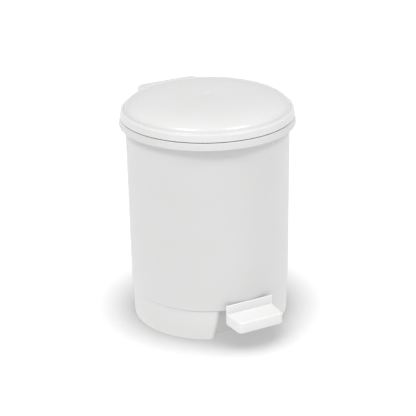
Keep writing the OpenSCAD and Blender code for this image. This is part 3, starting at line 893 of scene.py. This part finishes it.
def effect(name, inputs, outputs):
    """An empty node group with number sockets, and the sockets at its two ends."""
    group = bpy.data.node_groups.new(name, "ShaderNodeTree")
    for label, value in inputs.items():
        socket = group.interface.new_socket(label, in_out="INPUT", socket_type="NodeSocketFloat")
        socket.default_value = value
    for label in outputs:
        group.interface.new_socket(label, in_out="OUTPUT", socket_type="NodeSocketFloat")
    return (group, group.nodes.new("NodeGroupInput").outputs,
            group.nodes.new("NodeGroupOutput").inputs)


def noise_cells(tree, wide, deep, high, detail=2.0):
    """Noise whose cells have the given sizes along X, Y and Z."""
    place = node_in(tree, "TexCoord", {}).outputs["Object"]
    cell = node_in(tree, "CombineXYZ", {"X": wide, "Y": deep, "Z": high})
    scaled = node_in(tree, "VectorMath", {0: place, 1: cell.outputs[0]}, operation="DIVIDE")
    noise = node_in(tree, "TexNoise", {"Vector": scaled.outputs[0], "Scale": 1.0, "Detail": detail})
    return noise.outputs["Fac"]


def ramp(tree, value, low, high, to_low=0.0, to_high=1.0):
    """Stretches the part of a value between low and high, and clamps the rest."""
    made = node_in(tree, "MapRange", {
        "Value": value, "From Min": low, "From Max": high, "To Min": to_low, "To Max": to_high})
    return made.outputs["Result"]


def times(tree, a, b):
    return node_in(tree, "Math", {0: a, 1: b}, operation="MULTIPLY").outputs[0]

# %% [markdown]
# The mould's surface is etched to a satin, which leaves a fine grain on the plastic. The plastic
# sets in faint clouds as it flows. Hands and cloths rub soft blots into it, and fine scratches:
# two noises, each stretched along its own axis, give scratches that cross.

# %% Grain, clouds and rub
grain, given, gives = effect("satin_grain", {"Cell": 0.35 * MM}, ["Height"])
grain.links.new(noise_cells(grain, given["Cell"], given["Cell"], given["Cell"], 3.0), gives["Height"])

clouds, given, gives = effect("flow_clouds", {"Cell": 45 * MM}, ["Mask"])
slow = noise_cells(clouds, given["Cell"], given["Cell"], given["Cell"], 1.0)
clouds.links.new(ramp(clouds, slow, 0.3, 0.7), gives["Mask"])

rub, given, gives = effect("rub_marks", {"Smudge": 16 * MM, "Scratch": 0.3 * MM}, ["Smudge", "Scratch"])
blots = noise_cells(rub, given["Smudge"], given["Smudge"], given["Smudge"], 2.0)
rub.links.new(ramp(rub, blots, 0.4, 0.9), gives["Smudge"])
long_cell = times(rub, given["Scratch"], 90.0)
one_way = noise_cells(rub, long_cell, given["Scratch"], given["Scratch"])
other_way = noise_cells(rub, given["Scratch"], long_cell, given["Scratch"])
crossed = node_in(rub, "Math", {0: one_way, 1: other_way}, operation="MAXIMUM").outputs[0]
rub.links.new(ramp(rub, crossed, 0.72, 0.8), gives["Scratch"])
print("groups:", [g.name for g in bpy.data.node_groups])

# %% [markdown]
# Dust gathers near the floor and fades out over a few centimetres, broken up by noise. Thin
# edges of white plastic get a painted highlight: their colour is made lighter, in place of light
# that comes through them and shines on them. The ambient occlusion node, turned inwards, finds such
# edges: it looks for the opposite surface within a millimetre or so. Drawn wire has long fine lines, so
# its noise is stretched.

# %% Dust, thin edges and metal
dust, given, gives = effect("floor_dust", {"Reach": 26 * MM}, ["Mask"])
spot = node_in(dust, "TexCoord", {}).outputs["Object"]
height = node_in(dust, "SeparateXYZ", {0: spot}).outputs["Z"]
level = node_in(dust, "Math", {0: height, 1: given["Reach"]}, operation="DIVIDE").outputs[0]
fading = ramp(dust, level, 0.0, 1.0, 1.0, 0.0)
patches = ramp(dust, noise_cells(dust, 6 * MM, 6 * MM, 6 * MM, 5.0), 0.35, 0.75)
dust.links.new(times(dust, fading, patches), gives["Mask"])

# Painted highlight: this mask finds thin edges, where the plastic's colour is made lighter.
edge_highlight, given, gives = effect("painted_edge_highlight", {"Depth": 1.2 * MM}, ["Mask"])
inward = node_in(edge_highlight, "AmbientOcclusion", {"Distance": given["Depth"]}, inside=True, samples=12)
edge_highlight.links.new(ramp(edge_highlight, inward.outputs["AO"], 1.0, 0.55), gives["Mask"])

drawn, given, gives = effect(
    "drawn_lines", {"Along X": 9 * MM, "Along Y": 0.12 * MM, "Along Z": 0.12 * MM}, ["Lines"])
lines = noise_cells(drawn, given["Along X"], given["Along Y"], given["Along Z"], 3.0)
drawn.links.new(ramp(drawn, lines, 0.3, 0.7), gives["Lines"])

bloom, given, gives = effect("zinc_bloom", {"Cell": 1.1 * MM}, ["Mask"])
flakes = noise_cells(bloom, given["Cell"], given["Cell"], given["Cell"], 4.0)
bloom.links.new(ramp(bloom, flakes, 0.38, 0.62), gives["Mask"])
print("groups:", len(bpy.data.node_groups))

# %% [markdown]
# ## The finishes
#
# The outside is polypropylene, coloured white in the mass, with a satin surface. The lid is a
# little glossier than the shell, and the pedal has the lightest tone, painted light standing in for
# the light that falls on its tread. The bucket is the same plastic in a plainer grade. All plastics
# come from one function, with their own colours and grain; the steel and the zinc have a second one,
# because metals colour their reflections.
# A group only hands masks and heights over, and the shader stays in the material.

# %% Helpers for materials
def place_group(tree, group, **inputs):
    made = tree.nodes.new("ShaderNodeGroup")
    made.node_tree = group
    for label, value in inputs.items():
        made.inputs[label].default_value = value
    return made.outputs


def blend_colours(tree, mask, clean, marked):
    """A colour that turns from clean to marked; each is a colour or a socket."""
    return node_in(tree, "Mix", {0: mask, 6: clean, 7: marked}, data_type="RGBA").outputs[2]


def weighted(tree, *pairs):
    """The sum of heights, each with its weight."""
    total = 0.0
    for value, weight in pairs:
        added = node_in(tree, "Math", {0: value, 1: weight, 2: total}, operation="MULTIPLY_ADD")
        total = added.outputs[0]
    return total


def new_finish(name, **sockets):
    """A material whose constant values sit on the shader's own sockets."""
    finish = bpy.data.materials.new(name)
    finish.use_nodes = True
    shader = finish.node_tree.nodes["Principled BSDF"]
    for label, value in sockets.items():
        shader.inputs[label.replace("_", " ")].default_value = value
    return finish, finish.node_tree, shader


def grey(tone, warmth=0.0):
    return (tone * (1 + warmth), tone, tone * (1 - warmth), 1)

# %% [markdown]
# White plastic is one tone with very little on it, and that little keeps it from looking like
# paper. Clouds and dust shift the colour by a few hundredths, thin edges get a painted highlight
# and blots dull the gloss. Grain, scratches and clouds are added up as a height for one Bump node.

# %% White plastic
def plastic(name, tone, roughness, grain_cell=0.35 * MM, grain_depth=0.012 * MM, edge=1.09,
            clouded=0.985, dusty=0.96, smudged=0.09):
    """White plastic: satin grain, faint clouds, rub marks, dust near the floor, a painted highlight on
    thin edges.
    """
    finish, tree, shader = new_finish(name, IOR=1.49)
    cloud = place_group(tree, clouds)["Mask"]
    marks = place_group(tree, rub)
    colour = blend_colours(tree, cloud, grey(tone), grey(tone * clouded, 0.004))
    colour = blend_colours(tree, place_group(tree, dust)["Mask"], colour, grey(tone * dusty, 0.02))
    # Painted highlight: thin edges are lightened by the edge factor, standing in for light on them.
    colour = blend_colours(tree, place_group(tree, edge_highlight)["Mask"], colour, grey(min(tone * edge, 0.95)))
    tree.links.new(colour, shader.inputs["Base Color"])
    dulled = ramp(tree, marks["Smudge"], 0.0, 1.0, roughness, roughness + smudged)
    tree.links.new(dulled, shader.inputs["Roughness"])
    relief = weighted(tree, (place_group(tree, grain, Cell=grain_cell)["Height"], 1.0),
                      (marks["Scratch"], -0.15), (cloud, 0.6))
    bump = node_in(tree, "Bump", {"Height": relief, "Distance": grain_depth, "Strength": 1.0})
    tree.links.new(bump.outputs["Normal"], shader.inputs["Normal"])
    return finish

# %% [markdown]
# Steel wire has fine lines along its length from the die that it was drawn through, and zinc
# plating has dull flakes. Both are a pattern that changes colour, gloss and relief together, so
# one function takes either group.

# %% Steel and zinc
def metal(name, tone, roughness, mask, marked_tone, warmth, depth):
    """Bare or plated metal whose lines or flakes change its colour, gloss and relief."""
    finish, tree, shader = new_finish(name, Metallic=1.0)
    group, settings = mask
    pattern = place_group(tree, group, **settings)[0]
    smudge = place_group(tree, rub)["Smudge"]
    colour = blend_colours(tree, pattern, grey(tone), grey(marked_tone, warmth))
    colour = blend_colours(tree, times(tree, smudge, 0.5), colour, grey(marked_tone * 0.9, warmth))
    tree.links.new(colour, shader.inputs["Base Color"])
    gloss = ramp(tree, pattern, 0.0, 1.0, roughness, roughness + 0.14)
    tree.links.new(gloss, shader.inputs["Roughness"])
    bump = node_in(tree, "Bump", {"Height": pattern, "Distance": depth, "Strength": 0.6})
    tree.links.new(bump.outputs["Normal"], shader.inputs["Normal"])
    return finish

# %% [markdown]
# Each finish is a tone, a roughness and the size and depth of its grain. The lid's grain is the
# shallowest of the white plastics and its gloss the highest, so that its shoulder shows the
# lamps. A steel piece takes the wire finish whose lines run its own way.

# %% Make the finishes
# edge sets how much lighter each plastic's painted highlight on thin edges is.
finishes = {
    "shell_plastic": plastic("shell_plastic", 0.67, 0.38, grain_depth=0.008 * MM, edge=1.12),
    "lid_plastic": plastic("lid_plastic", 0.71, 0.26, grain_cell=0.6 * MM, grain_depth=0.0015 * MM,
                           edge=1.2, smudged=0.03),
    # The pedal's lighter tone is painted light: it stands in for the light on its tread.
    "pedal_plastic_painted_light": plastic("pedal_plastic_painted_light", 0.76, 0.34, grain_depth=0.008 * MM, edge=1.15),
    "bucket_plastic": plastic("bucket_plastic", 0.66, 0.42, dusty=0.97),
    "lever_plastic": plastic("lever_plastic", 0.64, 0.45, grain_cell=0.6 * MM,
                             grain_depth=0.02 * MM),
    "soft_rubber": plastic("soft_rubber", 0.42, 0.72, grain_cell=0.25 * MM,
                           grain_depth=0.03 * MM, edge=1.02, dusty=1.05),
    "wire_along_x": metal("wire_along_x", 0.62, 0.26, (drawn, {}), 0.5, 0.0, 0.01 * MM),
    "wire_along_z": metal("wire_along_z", 0.62, 0.26, (
        drawn, {"Along X": 0.12 * MM, "Along Z": 9 * MM}), 0.5, 0.0, 0.01 * MM),
    "wire_of_bail": metal("wire_of_bail", 0.64, 0.22, (
        drawn, {"Along Y": 9 * MM}), 0.52, 0.0, 0.01 * MM),
    "zinc_plating": metal("zinc_plating", 0.60, 0.34, (bloom, {}), 0.5, 0.03, 0.015 * MM),
}
print("finishes:", sorted(finishes))

# %% [markdown]
# The pieces that come from the frame keep their shape and only get a finish. Each object has one
# material slot or more from its import, and all of them are given the new finish.

# %% Put the finishes on
wears = {
    "shell_plastic": [outer_shell, plinth],
    "lid_plastic": [lid],
    "pedal_plastic_painted_light": [tread],
    "bucket_plastic": [bucket],
    "lever_plastic": ["lid_lever", "pedal_lever"],
    "soft_rubber": ["lid_buffers", "upper_rod_guide", "lower_rod_guide"],
    "wire_along_x": ["hinge_pin", "pedal_axle"],
    "wire_along_z": ["lift_rod"],
    "wire_of_bail": ["bucket_handle"],
    "zinc_plating": ["hinge_pin_clips", "axle_clips", "upper_rod_clip", "lower_rod_clip",
                     "lid_lever_screws", "pedal_screws", "plinth_screws"],
}
for finish_name, pieces in wears.items():
    for piece in pieces:
        if isinstance(piece, str):
            piece = frame["nodes"][piece]
        if not piece.material_slots:
            piece.data.materials.append(None)
        for slot in piece.material_slots:
            slot.material = finishes[finish_name]
print("pieces with a finish:", sum(len(pieces) for pieces in wears.values()))

# %% [markdown]
# ## The camera
#
# A product is shown through a long lens from well off, so that its upright lines stay nearly
# upright. A wide lens close by would fill the frame as well, but it would swell the lid and
# shrink the foot. The small shift and roll only settle the bin in the frame.

# %% Camera
AZIMUTH = math.radians(-28)
ELEVATION = math.radians(22.5)
ROLL = math.radians(-0.985)
DISTANCE = 1.754
AIM_HEIGHT = 0.12
from_aim = Vector((math.sin(AZIMUTH) * math.cos(ELEVATION),
                   -math.cos(AZIMUTH) * math.cos(ELEVATION), math.sin(ELEVATION)))
lens = bpy.data.cameras.new("camera")
lens.lens = 129.06
lens.sensor_width = 36
lens.shift_x = -0.0025
lens.shift_y = 0.0121
camera = bpy.data.objects.new("camera", lens)
bpy.context.scene.collection.objects.link(camera)
camera.location = up * AIM_HEIGHT + from_aim * DISTANCE
camera.rotation_euler = from_aim.to_track_quat("Z", "Y").to_euler()
camera.rotation_euler.rotate_axis("Z", ROLL)
bpy.context.scene.camera = camera
print(f"camera {DISTANCE:.2f} m from the bin, with a {lens.lens:.0f} mm lens")

# %% [markdown]
# ## The floor
#
# The bin stands on a white floor that runs out of sight. Lit as brightly as the bin it would
# look grey, so its paint glows a little. It gets darker where the bin comes close: the ambient
# occlusion node finds those places, and a ramp makes a soft contact shade of them. Only the
# camera's own rays see that shade, so the floor still throws all its light up at the bin.

# %% Floor
FLOOR_SIZE = 40
GLOW = 0.42
SHADE_REACH = 0.07
deselect()
bpy.ops.mesh.primitive_plane_add(size=FLOOR_SIZE, location=(0, 0, 0))
floor = bpy.context.object
floor.name = "floor"
floor_paint, tree, shader = new_finish("floor_paint", Roughness=0.9, Emission_Strength=GLOW)
near = node_in(tree, "AmbientOcclusion", {"Distance": SHADE_REACH}, samples=12)
tone = ramp(tree, near.outputs["AO"], 0.5, 1.0)
seen = node_in(tree, "LightPath", {}).outputs["Is Camera Ray"]
unseen = node_in(tree, "Math", {0: 1.0, 1: seen}, operation="SUBTRACT").outputs[0]
tone = node_in(tree, "Math", {0: tone, 1: unseen}, operation="MAXIMUM").outputs[0]
tree.links.new(blend_colours(tree, tone, grey(0.14), grey(0.95)), shader.inputs["Base Color"])
floor.data.materials.append(floor_paint)
print(f"floor {FLOOR_SIZE} m square, shaded within {SHADE_REACH / MM:.0f} mm of the bin")

# %% [markdown]
# ## The lights
#
# A white world lights everything a little from all sides. Two soft lamps far off, to the left
# and the right of the camera, model the round body and show as two bright bars on the lid's
# shoulder. Lamps close by would light the lid much more than the foot. Light linking keeps both
# off the floor, where each would throw a shadow of its own, and a third lamp with a very wide
# spread is for the floor alone. The Standard view shows white as white.

# %% World and lamps
SKY = 0.53
world = bpy.data.worlds.new("studio")
world.use_nodes = True
backdrop = world.node_tree.nodes["Background"]
backdrop.inputs["Color"].default_value = (1, 1, 1, 1)
backdrop.inputs["Strength"].default_value = SKY
bpy.context.scene.world = world
bpy.context.scene.view_settings.view_transform = "Standard"


def far_lamp(name, turn, rise, power, spread, floor_link):
    """A large soft lamp far off, at a turn from the camera's side and a rise above the floor."""
    lamp = bpy.data.lights.new(name, "SUN")
    lamp.energy = power
    lamp.angle = math.radians(spread)
    holder = bpy.data.objects.new(name, lamp)
    bpy.context.scene.collection.objects.link(holder)
    turn, rise = AZIMUTH + math.radians(turn), math.radians(rise)
    way = Vector((math.sin(turn) * math.cos(rise), -math.cos(turn) * math.cos(rise), math.sin(rise)))
    holder.rotation_euler = way.to_track_quat("Z", "Y").to_euler()
    lit = bpy.data.collections.new(name + "_lights")
    lit.objects.link(floor)
    lit.collection_objects[0].light_linking.link_state = floor_link
    holder.light_linking.receiver_collection = lit


far_lamp("left_lamp", -40, 55, 1.4, 16, "EXCLUDE")
far_lamp("right_lamp", 57, 55, 1.1, 16, "EXCLUDE")
far_lamp("floor_lamp", 0, 50, 0.85, 60, "INCLUDE")
print("lamps:", [lamp.name for lamp in bpy.data.lights])
